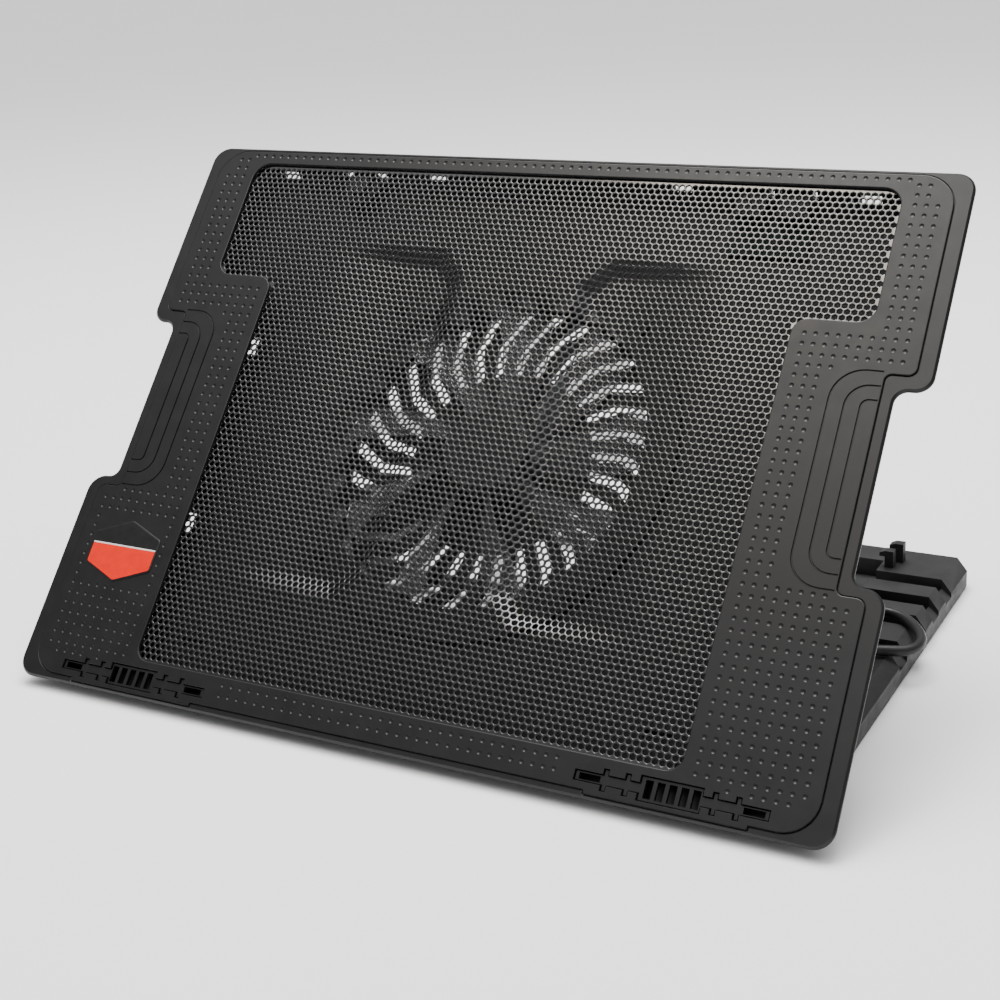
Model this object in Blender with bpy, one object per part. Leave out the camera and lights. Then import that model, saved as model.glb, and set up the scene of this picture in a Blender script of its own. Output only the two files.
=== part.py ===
"""Laptop cooling pad: a vented tray with one large fan on a tilting notched stand.

Units are millimetres in this file and metres in the scene. The stand lies on z = 0 and is
centred on the origin; the hinge line runs along x near the front, and the pad rises to the rear.
Pad pieces are drawn in the pad's own frame: y from its front edge, z from its top face.
"""
import math

import bmesh
import bpy
from mathutils import Vector

MM = 0.001
GAP = 0.3
SIDES = ((-1, "left"), (1, "right"))

# pad
PAD_W = 380.0
PAD_D = 278.6
LIP = 3.0                 # thickness of the frame's edge
PANEL_RISE = 0.4          # raised inner panel of the frame
CASE_DEPTH = 15.5         # underside of the case below the top face
FLOOR = 2.0               # case wall and floor
TILT = math.radians(49.0)
HINGE_Y = 28.0            # hinge line from the pad's front edge
HINGE_DEPTH = 31.0        # hinge line below the pad's top face
AXIS_Y = -97.2            # hinge line in the stand
AXIS_Z = 6.8

# hinge and prop
KNUCKLE_R = 5.5
BRACKET_PLATE = 2.0
HINGE_EARS = ((103.7, 111.7), (132.3, 140.3))
PROP_LUGS = ((80.6, 87.6), (98.4, 105.4))
LUG_R = 3.8
HINGE_PIN_R = 1.5
PROP_ON_PAD = 100.0       # hinge line to prop pivot
PROP_LENGTH = 95.5        # prop pivot to foot bar
PROP_TURN = TILT + math.asin(PROP_ON_PAD * math.sin(TILT) / PROP_LENGTH)
ARM_IN, ARM_OUT, ARM_HALF = 88.0, 98.0, 3.4
PROP_PIN_R = 1.2
FOOT_R, BAR_END_R = 3.2, 2.0
BAR_HALF, FOOT_HALF = 114.0, 133.6

# stand
BASE_HALF = 172.7
BASE_BEND = 165.7         # ridge ends turn forward outside this
BASE_FRONT, BASE_REAR = -90.5, 138.0
BASE_Z, RIDGE_Z, SIDE_Z = 0.8, 11.5, 9.0
TRAY_Z = 2.5              # floor of the recess and the grooves
TRAY_HALF = 134.0
END_SHIFT = 9.0
GROOVES = ((97.0, 107.5), (74.0, 84.5), (49.5, 61.5), (19.0, 31.0))

# mesh opening
OPEN_LOW, OPEN_STEP, OPEN_HIGH = 16.8, 207.8, 269.7
OPEN_HALF, OPEN_WIDE = 128.8, 161.6

# fan
FAN_Y = 141.0
DRUM_R, DRUM_WALL = 78.0, 2.5
DRUM_BOTTOM = -34.5
FLANGE_R = 90.0
FAN_SCREW_CIRCLE = 86.0
SLOTS = 30
SLOT_IN, SLOT_OUT = 43.5, 74.0
SLOT_LEAN = math.radians(12.0)
SLOT_HALF = (2.1, 3.0)    # half width at the inner and the outer end
BLADES = 9
BLADE_R = 72.3
BLADE_Z = -24.0           # mid height of the blades
BLADE_HALF_T = 0.8
BLADE_SPREAD = (math.radians(10.5), math.radians(9.0))   # half angle at root and tip
BLADE_RISE = (6.6, 5.4)   # half rise across the blade at root and tip
BLADE_SWEEP = math.radians(14.0)
BLADE_CAMBER = 1.4
HUB_R, HUB_WALL_R = 19.5, 16.6
HUB_TOP, HUB_LOW = -14.3, -30.0
SHAFT_R = 1.5

# front stop wells, right-hand side
WELL_X = (87.8, 165.6)
WELL_Y = (6.2, 10.5)
RIB_Y = (4.0, 12.8)
RIBS = (100.4, 109.4, 144.2, 153.2)
RIB_HALF = 1.15
POCKET_X = (114.3, 139.5)
POCKET_Y = (3.5, 13.4)
WELL_DEPTH = 6.9
TRAY_X = (84.5, 168.9)
TRAY_Y = (1.9, 14.9)
STOP_AXIS = (8.35, -1.75)
STOP_HALF = 0.9           # half thickness of a stop
STUB_R = 0.8

# fixings and feet
FOOT_X, FOOT_YS = 150.0, (-74.0, 112.0)
CASE_SCREWS = ((150.0, 22.0), (140.0, 120.0), (168.0, 258.0))
SCREW_HOLE_R = 1.8
KNUCKLE_X = (112.0, 132.0)
HINGE_PIN_X = (104.2, 139.8)
PROP_PIN_X = (81.2, 104.8)
RECESS_Y = (-79.0, 121.0)
WINDOW_HALF, WINDOW_Y = 110.0, (-13.0, 110.0)   # open middle of the stand, below the fan
HOOKS = ((141.2, 123.4, 0.0), (138.6, 115.2, 1.2))   # x, y and how much lower the hook is

# usb hub and speed control
PORT_XS, PORT_Y, PORT_Z = (96.0, 115.0), 257.0, -7.6
PORT_HALF, PORT_WALL, PORT_LENGTH = (6.6, 3.0), 0.4, 14.0
HUB_BOARD = (105.5, 250.0, -12.9)
KNOB = (-102.0, 263.0, -8.0)
RELIEF_X, RELIEF_Y, RELIEF_LENGTH = 154.0, 40.0, 9.0

# usb lead
CORD_D = 4.8
COIL_X, COIL_Y = 100.0, -44.0
COIL_R = 24.5
PLUG_X, PLUG_Y = 77.2, -68.5


def lean(values, f):
    """Value at fraction f between the two given ends."""
    return values[0] + (values[1] - values[0]) * f


def clear_scene():
    for obj in list(bpy.data.objects):
        bpy.data.objects.remove(obj, do_unlink=True)


def material(name, color, roughness, metallic=0.0):
    mat = bpy.data.materials.get(name)
    if mat is None:
        mat = bpy.data.materials.new(name)
        mat.use_nodes = True
        shader = mat.node_tree.nodes["Principled BSDF"]
        shader.inputs["Base Color"].default_value = (*color, 1.0)
        shader.inputs["Roughness"].default_value = roughness
        shader.inputs["Metallic"].default_value = metallic
    return mat


def black_plastic():
    return material("black plastic", (0.045, 0.045, 0.047), 0.45)


def dark_plastic():
    return material("dark plastic", (0.02, 0.02, 0.021), 0.4)


def rubber():
    return material("rubber", (0.02, 0.02, 0.02), 0.8)


def steel():
    return material("steel", (0.55, 0.55, 0.56), 0.3, 1.0)


def circuit_green():
    return material("green board", (0.02, 0.12, 0.04), 0.5)


def place(obj, parent, location=(0, 0, 0), rotation=(0, 0, 0)):
    obj.parent = parent
    obj.location = Vector(location) * MM
    obj.rotation_euler = rotation


def empty(name, parent, location, rotation=(0, 0, 0)):
    obj = bpy.data.objects.new(name, None)
    bpy.context.collection.objects.link(obj)
    place(obj, parent, location, rotation)
    return obj


# ---------------------------------------------------------------- outlines

def turn_at(points, i):
    ax, ay = points[i - 1][:2]
    bx, by = points[i][:2]
    cx, cy = points[(i + 1) % len(points)][:2]
    return (bx - ax) * (cy - by) - (by - ay) * (cx - bx)


def grown(corners, step, limit=11.0):
    """Corners (x, y, radius), counter-clockwise, with every edge moved out by step."""
    out = []
    n = len(corners)
    for i in range(n):
        ax, ay = corners[i - 1][:2]
        bx, by, radius = corners[i]
        cx, cy = corners[(i + 1) % n][:2]
        d1 = Vector((bx - ax, by - ay)).normalized()
        d2 = Vector((cx - bx, cy - by)).normalized()
        n1 = Vector((d1.y, -d1.x))
        n2 = Vector((d2.y, -d2.x))
        move = (n1 + n2) * (step / (1.0 + n1.dot(n2)))
        bend = step if turn_at(corners, i) > 0 else -step
        new_radius = radius and min(max(radius + bend, 1.0), max(limit, radius))
        out.append((bx + move.x, by + move.y, new_radius))
    return out


def rounded(corners, steps=4):
    """Points of a closed outline whose corners (x, y, radius) are filleted."""
    points = []
    n = len(corners)
    for i in range(n):
        a = Vector(corners[i - 1][:2])
        b = Vector(corners[i][:2])
        c = Vector(corners[(i + 1) % n][:2])
        radius = corners[i][2]
        if radius == 0:
            points.append((b.x, b.y))
            continue
        u = (a - b).normalized()
        v = (c - b).normalized()
        half = math.acos(max(-1.0, min(1.0, u.dot(v)))) / 2
        start = b + u * (radius / math.tan(half))
        end = b + v * (radius / math.tan(half))
        middle = b + (u + v).normalized() * (radius / math.sin(half))
        p, q = start - middle, end - middle
        sweep = math.atan2(p.x * q.y - p.y * q.x, p.dot(q))
        for k in range(steps + 1):
            t = sweep * k / steps
            x = middle.x + p.x * math.cos(t) - p.y * math.sin(t)
            y = middle.y + p.x * math.sin(t) + p.y * math.cos(t)
            points.append((x, y))
    return points


def mirrored(half):
    """Close a right-hand chain of corners (front to rear) with its mirror image."""
    return half + [(-x, y, r) for x, y, r in reversed(half)]


def pad_outline():
    return mirrored([
        (PAD_W / 2, 0.0, 8.5), (PAD_W / 2, 98.6, 8.5), (176.1, 98.6, 5.0),
        (176.1, 180.0, 5.5), (PAD_W / 2, 180.0, 7.0), (PAD_W / 2, PAD_D, 8.5)])


def panel_outline():
    """Edge of the raised inner panel; it steps in beside the front stops."""
    return mirrored([
        (93.0, 3.2, 0), (93.0, 1.6, 0), (158.4, 1.6, 0), (158.4, 3.2, 0),
        (182.9, 3.2, 14.0), (182.9, 94.0, 4.0), (170.9, 94.0, 3.0),
        (170.9, 186.2, 3.0), (182.9, 186.2, 3.5), (182.9, 276.6, 15.0)])


def mesh_outline():
    return mirrored([
        (OPEN_HALF, OPEN_LOW, 7.0), (OPEN_HALF, OPEN_STEP, 7.0),
        (OPEN_WIDE, OPEN_STEP, 7.5), (OPEN_WIDE, OPEN_HIGH, 8.5)])


def well_outline(side, grow=0.0):
    """Stepped outline of a front stop well: a channel, four cross slots and a finger pocket."""
    low, high = WELL_Y[0] - grow, WELL_Y[1] + grow
    bumps = [(x - RIB_HALF - grow, x + RIB_HALF + grow, RIB_Y[0] - grow, RIB_Y[1] + grow) for x in RIBS]
    bumps.append((POCKET_X[0] - grow, POCKET_X[1] + grow, POCKET_Y[0] - grow, POCKET_Y[1] + grow))
    bumps.sort()
    front = [(WELL_X[0] - grow, low)]
    back = [(WELL_X[0] - grow, high)]
    for x0, x1, y0, y1 in bumps:
        front += [(x0, low), (x0, y0), (x1, y0), (x1, low)]
        back += [(x0, high), (x0, y1), (x1, y1), (x1, high)]
    front.append((WELL_X[1] + grow, low))
    back.append((WELL_X[1] + grow, high))
    return [(side * x, y) for x, y in front + back[::-1]]


def circle(radius, count=48, centre=(0.0, 0.0), start=0.0):
    turn = 2 * math.pi / count
    return [(centre[0] + radius * math.cos(start + i * turn), centre[1] + radius * math.sin(start + i * turn))
            for i in range(count)]


def rectangle(x0, x1, y0, y1):
    return [(x0, y0), (x1, y0), (x1, y1), (x0, y1)]


# ---------------------------------------------------------------- solids

class Body:
    """A closed mesh put together from walls (stacks of rings) and flat caps between rings."""

    def __init__(self):
        self.mesh = bmesh.new()

    def ring(self, points, z):
        return [self.mesh.verts.new((x * MM, y * MM, z * MM)) for x, y in points]

    def wall(self, *rings):
        """Join (points, z) rings in order and return the first and the last ring."""
        built = [self.ring(points, z) for points, z in rings]
        self.join(built)
        return built[0], built[-1]

    def join(self, built):
        for low, high in zip(built, built[1:]):
            for i in range(len(low)):
                self.mesh.faces.new((low[i - 1], low[i], high[i], high[i - 1]))

    def cap(self, *rings):
        edges = []
        for ring in rings:
            for i in range(len(ring)):
                pair = (ring[i - 1], ring[i])
                edges.append(self.mesh.edges.get(pair) or self.mesh.edges.new(pair))
        bmesh.ops.triangle_fill(self.mesh, use_beauty=True, edges=edges)

    def finish(self, name, mat, smooth=None):
        bmesh.ops.recalc_face_normals(self.mesh, faces=self.mesh.faces)
        data = bpy.data.meshes.new(name)
        self.mesh.to_mesh(data)
        self.mesh.free()
        data.materials.append(mat)
        obj = bpy.data.objects.new(name, data)
        bpy.context.collection.objects.link(obj)
        if smooth:
            data.shade_smooth()
            data.set_sharp_from_angle(angle=math.radians(smooth))
        return obj


def plate(name, outline, z0, z1, mat, holes=(), smooth=None):
    body = Body()
    walls = [body.wall((points, z0), (points, z1)) for points in (outline, *holes)]
    body.cap(*[w[0] for w in walls])
    body.cap(*[w[1] for w in walls])
    return body.finish(name, mat, smooth)


def box(name, x0, x1, y0, y1, z0, z1, mat=None):
    return plate(name, rectangle(x0, x1, y0, y1), z0, z1, mat or dark_plastic())


def turned(name, rings, mat, count=36, bore=0.0):
    """Stack of circles (radius, z), from one end to the other, with an optional bore."""
    body = Body()
    outer = body.wall(*[(circle(r, count), z) for r, z in rings])
    if bore:
        inner = body.wall((circle(bore, count), rings[0][1]), (circle(bore, count), rings[-1][1]))
        body.cap(outer[0], inner[0])
        body.cap(outer[1], inner[1])
    else:
        body.cap(outer[0])
        body.cap(outer[1])
    return body.finish(name, mat, 40)


def turned_x(name, rings, mat, count=16, bore=0.0, y=0.0):
    """Turned piece lying along x at height zero; the object's own axes stay straight."""
    obj = turned(name, rings, mat, count, bore)
    for vert in obj.data.vertices:
        along, across, up = vert.co.z, vert.co.x, vert.co.y
        vert.co = (along, across + y * MM, up)
    return obj


def rod_x(name, radius, xa, xb, mat=None, count=16, bore=0.0, y=0.0):
    x0, x1 = sorted((xa, xb))
    return turned_x(name, ((radius, x0), (radius, x1)), mat or dark_plastic(), count, bore, y)


def extruded_x(name, side_view, xa, xb, holes=()):
    """Side view (y, z) stretched from xa to xb, with holes through it."""
    body = Body()
    walls = []
    for line in (side_view, *holes):
        walls.append([[body.mesh.verts.new((x * MM, y * MM, z * MM)) for y, z in line] for x in sorted((xa, xb))])
        body.join(walls[-1])
    body.cap(*[wall[0] for wall in walls])
    body.cap(*[wall[1] for wall in walls])
    return body.finish(name, dark_plastic())


def rounded_end(y, z, radius, start, count=12):
    """Half circle of side-view points, turning counter-clockwise from the start angle."""
    return [(y + radius * math.cos(start + math.pi * k / count), z + radius * math.sin(start + math.pi * k / count))
            for k in range(count + 1)]


def cutter(obj):
    obj.hide_render = True
    obj.display_type = "WIRE"
    return obj


def combine(obj, other, operation):
    cutter(other)
    other.parent = obj
    mod = obj.modifiers.new(other.name, "BOOLEAN")
    mod.object = other
    mod.operation = operation
    mod.solver = "EXACT"
    return obj


def cut(obj, other):
    return combine(obj, other, "DIFFERENCE")


def add(obj, other):
    return combine(obj, other, "UNION")


# ---------------------------------------------------------------- stand

def groove_outline(side, y0, y1):
    """Inner, deep part of a groove on one side of the stand."""
    return [(side * x, y) for x, y in rectangle(TRAY_HALF - 1.0, BASE_BEND, y0, y1)]


def groove_end(side, y0, y1):
    """Groove end: beyond the bend it runs forward to the stand's side."""
    reach = BASE_HALF - BASE_BEND + 2.0
    shift = END_SHIFT * reach / (BASE_HALF - BASE_BEND)
    corners = [(BASE_BEND - 1.0, y0), (BASE_BEND, y0), (BASE_BEND + reach, y0 - shift),
               (BASE_BEND + reach, y1 - shift), (BASE_BEND, y1), (BASE_BEND - 1.0, y1)]
    return [(side * x, y) for x, y in corners]


def edge_slope(side, tag):
    """Cutter that lets the ridge tops fall away towards the stand's side."""
    over = 1.0
    fall = (RIDGE_Z - SIDE_Z) * over / (BASE_HALF - BASE_BEND)
    corners = [(BASE_BEND, RIDGE_Z), (BASE_HALF + over, SIDE_Z - fall), (BASE_HALF + over, RIDGE_Z + over),
               (BASE_BEND, RIDGE_Z + over)]
    body = Body()
    ends = [[body.mesh.verts.new((side * x * MM, y * MM, z * MM)) for x, z in corners]
            for y in (BASE_FRONT - over, BASE_REAR + over)]
    body.join(ends)
    body.cap(ends[0])
    body.cap(ends[1])
    return body.finish(f"slope_{tag}", dark_plastic())


def base_plate():
    """Moulded stand: grooved sides, a recess for the prop, an open middle, knuckles and lead hooks."""
    outline = [(-168.0, BASE_FRONT), (168.0, BASE_FRONT), (BASE_HALF, BASE_FRONT + 4.5),
               (BASE_HALF, BASE_REAR - END_SHIFT), (BASE_BEND, BASE_REAR),
               (-BASE_BEND, BASE_REAR), (-BASE_HALF, BASE_REAR - END_SHIFT), (-BASE_HALF, BASE_FRONT + 4.5)]
    obj = plate("base_plate", outline, BASE_Z, RIDGE_Z, black_plastic())
    cut(obj, box("recess", -TRAY_HALF, TRAY_HALF, *RECESS_Y, TRAY_Z, RIDGE_Z + 2.0))
    window = rounded([(x, y, 8.0) for x, y in rectangle(-WINDOW_HALF, WINDOW_HALF, *WINDOW_Y)])
    cut(obj, plate("window", window, BASE_Z - 1.0, TRAY_Z + 1.0, dark_plastic()))
    for side, tag in SIDES:
        side_grooves(obj, side, tag)
        knuckle(obj, side, tag)
        for j, (x, y, lower) in enumerate(HOOKS):
            add(obj, lead_hook(f"hook_{tag}_{j}", side, x, y, lower))
        for j, y in enumerate(FOOT_YS):
            seat = turned(f"foot_seat_{tag}_{j}", ((7.3, -1.0), (7.3, 2.1)), dark_plastic(), 24)
            seat.location = Vector((side * FOOT_X, y, 0)) * MM
            cut(obj, seat)


def side_grooves(obj, side, tag):
    """Cross grooves of one side, with shallow ends, and the slope of the ridge ends."""
    top = RIDGE_Z + 2.0
    for i, (y0, y1) in enumerate(GROOVES):
        cut(obj, plate(f"groove_{tag}_{i}", groove_outline(side, y0, y1), TRAY_Z, top, dark_plastic()))
        cut(obj, plate(f"groove_end_{tag}_{i}", groove_end(side, y0, y1), SIDE_Z - 2.0, top, dark_plastic()))
    cut(obj, edge_slope(side, tag))


def knuckle(obj, side, tag):
    """Hinge knuckle on the stand's front edge, with its web and pin hole."""
    x0, x1 = sorted((side * KNUCKLE_X[0], side * KNUCKLE_X[1]))
    add(obj, box(f"web_{tag}", x0, x1, AXIS_Y, BASE_FRONT + 3.0, AXIS_Z - 4.5, AXIS_Z + 4.5))
    barrel = rod_x(f"knuckle_{tag}", KNUCKLE_R, x0, x1, count=24)
    barrel.location = Vector((0, AXIS_Y, AXIS_Z)) * MM
    add(obj, barrel)
    hole = rod_x(f"knuckle_hole_{tag}", HINGE_PIN_R + GAP, x0 - 1.0, x1 + 1.0)
    hole.location = barrel.location
    cut(obj, hole)


def lead_hook(name, side, x, y, lower):
    """Post with a nose, for winding the lead on."""
    half_w, half_l = 2.1, 2.4
    foot, top = RIDGE_Z - 1.0, RIDGE_Z + 9.6
    side_view = [(0.0, foot), (4.2, foot), (4.2, top), (0.0, top),
                 (-2.6, top - 1.0), (-2.6, top - 2.8), (0.0, top - 2.8)]
    post = Body()
    ends = [[post.mesh.verts.new((side * (x + u - half_w) * MM, at * MM, (z - lower) * MM)) for u, z in side_view]
            for at in (y - half_l, y + half_l)]
    post.join(ends)
    post.cap(ends[0])
    post.cap(ends[1])
    return post.finish(name, dark_plastic())


def rubber_feet():
    for side, tag in SIDES:
        for row, y in zip(("front", "rear"), FOOT_YS):
            foot = turned(f"rubber_foot_{row}_{tag}", ((6.0, 0.0), (7.0, 0.8), (7.0, 1.8)), rubber(), 24)
            foot.location = Vector((side * FOOT_X, y, 0)) * MM


def hinge_pins():
    for side, tag in SIDES:
        pin = rod_x(f"hinge_pin_{tag}", HINGE_PIN_R, side * HINGE_PIN_X[0], side * HINGE_PIN_X[1], steel())
        pin.location = Vector((0, AXIS_Y, AXIS_Z)) * MM


# ---------------------------------------------------------------- pad shell

def top_frame(pad):
    """Moulded frame: thin rounded lip, raised panel, rebate for the mesh, wells for the stops."""
    body = Body()
    edge = pad_outline()
    low = [rounded(grown(edge, -0.8)), rounded(edge), rounded(edge), rounded(grown(edge, -0.6)),
           rounded(grown(edge, -1.8))]
    rim = body.wall((low[0], -LIP), (low[1], -LIP + 0.8), (low[2], -1.5), (low[3], -0.8), (low[4], -PANEL_RISE))
    panel = rounded(panel_outline())
    step = body.wall((panel, -PANEL_RISE), (rounded(grown(panel_outline(), -0.3)), 0.0))
    opening = rounded(mesh_outline())
    mouth = body.wall((opening, -1.3), (opening, 0.0))
    rebate_line = rounded(grown(mesh_outline(), 1.8))
    rebate = body.wall((rebate_line, -LIP), (rebate_line, -1.3))
    wells = [body.wall((well_outline(s), -WELL_DEPTH), (well_outline(s), 0.0)) for s in (-1, 1)]
    trays = []
    for s in (-1, 1):
        line = rectangle(*sorted((s * TRAY_X[0], s * TRAY_X[1])), *TRAY_Y)
        trays.append(body.wall((line, -WELL_DEPTH - 1.0), (line, -LIP)))
    bosses = []
    for x, y in screw_spots():
        outer = circle(3.6, 12, (x, y))
        inner = circle(1.5, 10, (x, y))
        bosses.append((body.wall((outer, -12.5), (outer, -LIP)), body.wall((inner, -12.5), (inner, -LIP - 1.0))))
    body.cap(rim[0], rebate[0], *[t[1] for t in trays], *[b[0][1] for b in bosses])
    for outer, inner in bosses:
        body.cap(outer[0], inner[0])
        body.cap(inner[1])
    for tray, well in zip(trays, wells):
        body.cap(tray[0])
        body.cap(well[0])
    body.cap(rebate[1], mouth[0])
    body.cap(rim[1], step[0])
    body.cap(step[1], mouth[1], *[w[1] for w in wells])
    obj = body.finish("top_frame", black_plastic(), 30)
    for s in (-1, 1):
        hole = rod_x(f"stub_hole_{s}", STUB_R + GAP, s * (WELL_X[0] - 2.0), s * (WELL_X[1] + 2.0), count=12)
        hole.location = Vector((0, *STOP_AXIS)) * MM
        cut(obj, hole)
    place(obj, pad)


def screw_spots():
    return [(side * x, y) for side, _ in SIDES for x, y in CASE_SCREWS]


def mesh_grille(pad):
    outline = rounded(grown(mesh_outline(), 1.5))
    obj = plate("mesh_grille", outline, -2.4, -1.6, material("painted mesh", (0.05, 0.05, 0.05), 0.35, 0.6))
    place(obj, pad)


def bottom_case(pad):
    """Shallow tub under the frame with the fan opening, vents, hinge ears and prop lugs."""
    edge = pad_outline()
    body = Body()
    outer = body.wall(*[(rounded(grown(edge, -d), 2), z)
                        for d, z in ((13.0, -CASE_DEPTH), (8.0, -10.0), (4.5, -3.3))])
    inner = body.wall(*[(rounded(grown(edge, -d), 2), z)
                        for d, z in ((15.0, FLOOR - CASE_DEPTH), (10.2, -10.0), (6.7, -3.3))])
    fan = circle(DRUM_R + 0.6, 48, (0.0, FAN_Y))
    opening = body.wall((fan, -CASE_DEPTH), (fan, FLOOR - CASE_DEPTH))
    vents = [rectangle(s * 138.0 - 4, s * 138.0 + 4, y - 5, y + 5) for s in (-1, 1) for y in (86.0, 177.0)]
    vents += [rectangle(s * 111.5 - 6, s * 111.5 + 6, 29.5, 33.0) for s in (-1, 1)]
    screws = [circle(SCREW_HOLE_R, 10, spot) for spot in screw_spots() + fan_screw_spots()]
    holes = [body.wall((h, -CASE_DEPTH), (h, FLOOR - CASE_DEPTH)) for h in vents + screws]
    body.cap(outer[0], opening[0], *[h[0] for h in holes])
    body.cap(inner[0], opening[1], *[h[1] for h in holes])
    body.cap(outer[1], inner[1])
    obj = body.finish("bottom_case", black_plastic(), 30)
    for s, tag in SIDES:
        x0, x1 = sorted((s * (TRAY_X[0] - GAP), s * (TRAY_X[1] + GAP)))
        cut(obj, box(f"stop_room_{tag}", x0, x1, -2.0, TRAY_Y[1] + GAP, -WELL_DEPTH - 1.0 - GAP, 0.0))
        for k, x in enumerate((62.4, 146.2)):
            y1 = 272.5 - 1.5 * k
            cut(obj, box(f"latch_window_{tag}_{k}", s * x - 4.5, s * x + 4.5, y1 - 3.5, y1, -14.0, 0.0))
    for k, (a, b) in enumerate(((88.0, 104.0), (107.0, 123.0))):
        cut(obj, box(f"port_window_{k}", a, b, 262.0, 280.0, -11.2, -4.0))
    cut(obj, box("knob_window", -114.0, -90.0, 262.0, 280.0, -10.6, -5.4))
    cut(obj, relief_hole())
    place(obj, pad)


def ear_block(name, pad, spans, y, radius, bore, foot):
    """Bracket under the case: a foot plate and round-ended ears about a pin."""
    low, high = min(x for span in spans for x in span), max(x for span in spans for x in span)
    top = -CASE_DEPTH - GAP
    obj = box(name, low, high, y - foot, y + foot, top - BRACKET_PLATE, top, black_plastic())
    for k, (x0, x1) in enumerate(spans):
        side_view = [(y + radius, top - BRACKET_PLATE / 2), (y - radius, top - BRACKET_PLATE / 2)]
        side_view += rounded_end(y, -HINGE_DEPTH, radius, math.pi)
        hole = circle(bore, 16, (y, -HINGE_DEPTH))
        add(obj, extruded_x(f"{name}_ear_{k}", side_view, x0, x1, [hole]))
    place(obj, pad)


def brackets(pad):
    """Hinge brackets at the front and prop brackets in the middle, on the left and right."""
    for s, tag in SIDES:
        ears = [sorted((s * a, s * b)) for a, b in HINGE_EARS]
        ear_block(f"hinge_bracket_{tag}", pad, ears, HINGE_Y, KNUCKLE_R, HINGE_PIN_R + GAP, 9.0)
        lugs = [sorted((s * a, s * b)) for a, b in PROP_LUGS]
        ear_block(f"prop_mount_{tag}", pad, lugs, HINGE_Y + PROP_ON_PAD, LUG_R, PROP_PIN_R + GAP, 8.0)


def relief_hole():
    hole = turned("relief_hole", ((3.4, -CASE_DEPTH - 1.0), (3.4, FLOOR - CASE_DEPTH + 1.0)), dark_plastic(), 16)
    hole.location = Vector((RELIEF_X, RELIEF_Y, 0)) * MM
    return hole


def badge(pad):
    """Blank pointed badge stuck on the left of the frame."""
    corners = [(0.0, -15.0, 3.0), (18.6, -7.6, 2.0), (18.6, 7.6, 2.0), (0.0, 15.0, 3.0),
               (-18.6, 7.6, 2.0), (-18.6, -7.6, 2.0)]
    obj = plate("badge", rounded(corners, 4), 0.0, 0.3, material("orange foil", (1.0, 0.1, 0.02), 0.35))
    place(obj, pad, (-155.8, 63.6, 0.15))


def front_stops(pad):
    """Stops that keep a laptop from sliding: flat strips that turn up about their middle line."""
    for side, tag in SIDES:
        middle = side * (WELL_X[0] + WELL_X[1]) / 2
        axis = empty(f"stop_axis_{tag}", pad, (middle, *STOP_AXIS))
        outline = [(x - middle, y - STOP_AXIS[0]) for x, y in well_outline(side, -0.35)]
        obj = plate(f"front_stop_{tag}", outline, -STOP_HALF, STOP_HALF, black_plastic())
        reach = (WELL_X[1] - WELL_X[0]) / 2
        for end in (-1, 1):
            add(obj, rod_x(f"stub_{tag}_{end}", STUB_R, end * (reach - 3.0), end * (reach + 1.6), count=12))
        place(obj, axis)


# ---------------------------------------------------------------- fan

def fan_screw_spots():
    return [(x, FAN_Y + y) for x, y in circle(FAN_SCREW_CIRCLE, 4, start=math.pi / 4)]


def slot_outline(index):
    """Curved slot between two vanes; it leans back by twelve degrees towards the rim."""
    turn = 2 * math.pi / SLOTS
    left, right = [], []
    for k in range(3):
        f = k / 2
        r = SLOT_IN + (SLOT_OUT - SLOT_IN) * f
        half = lean(SLOT_HALF, f) / r
        middle = index * turn - SLOT_LEAN * f * f
        left.append((r * math.cos(middle + half), r * math.sin(middle + half)))
        right.append((r * math.cos(middle - half), r * math.sin(middle - half)))
    return right + left[::-1]


def fan_housing(pad):
    """Drum through the case floor: flange above, vaned grille and motor seat below."""
    body = Body()
    count = 48
    inner_r = DRUM_R - DRUM_WALL
    flange_low = FLOOR - CASE_DEPTH + GAP
    rim = body.wall((circle(FLANGE_R, count), flange_low), (circle(FLANGE_R, count), flange_low + 2.0))
    drum = body.wall((circle(DRUM_R - 1.5, count), DRUM_BOTTOM), (circle(DRUM_R, count), DRUM_BOTTOM + 1.5),
                     (circle(DRUM_R, count), flange_low))
    bore = body.wall((circle(inner_r, count), DRUM_BOTTOM + 2.0), (circle(inner_r, count), flange_low + 2.0))
    slots = []
    for i in range(SLOTS):
        line = slot_outline(i)
        slots.append(body.wall((line, DRUM_BOTTOM), (line, DRUM_BOTTOM + 2.0)))
    holes = []
    for x, y in fan_screw_spots():
        line = circle(SCREW_HOLE_R, 10, (x, y - FAN_Y))
        holes.append(body.wall((line, flange_low), (line, flange_low + 2.0)))
    body.cap(drum[0], *[s[0] for s in slots])
    body.cap(bore[0], *[s[1] for s in slots])
    body.cap(rim[0], drum[1], *[h[0] for h in holes])
    body.cap(rim[1], bore[1], *[h[1] for h in holes])
    obj = body.finish("fan_housing", black_plastic(), 30)
    place(obj, pad, (0, FAN_Y, 0))


def blade_row(start, f):
    """Points across a blade at fraction f of its length; it is twisted, swept and cambered."""
    r = lean((HUB_R - 1.0, BLADE_R), f)
    row = []
    for j in range(5):
        g = j / 2 - 1
        angle = start + BLADE_SWEEP * f + lean(BLADE_SPREAD, f) * g
        z = BLADE_Z + lean(BLADE_RISE, f) * g + BLADE_CAMBER * (1 - g * g)
        row.append((r * math.cos(angle), r * math.sin(angle), z))
    return row


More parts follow.
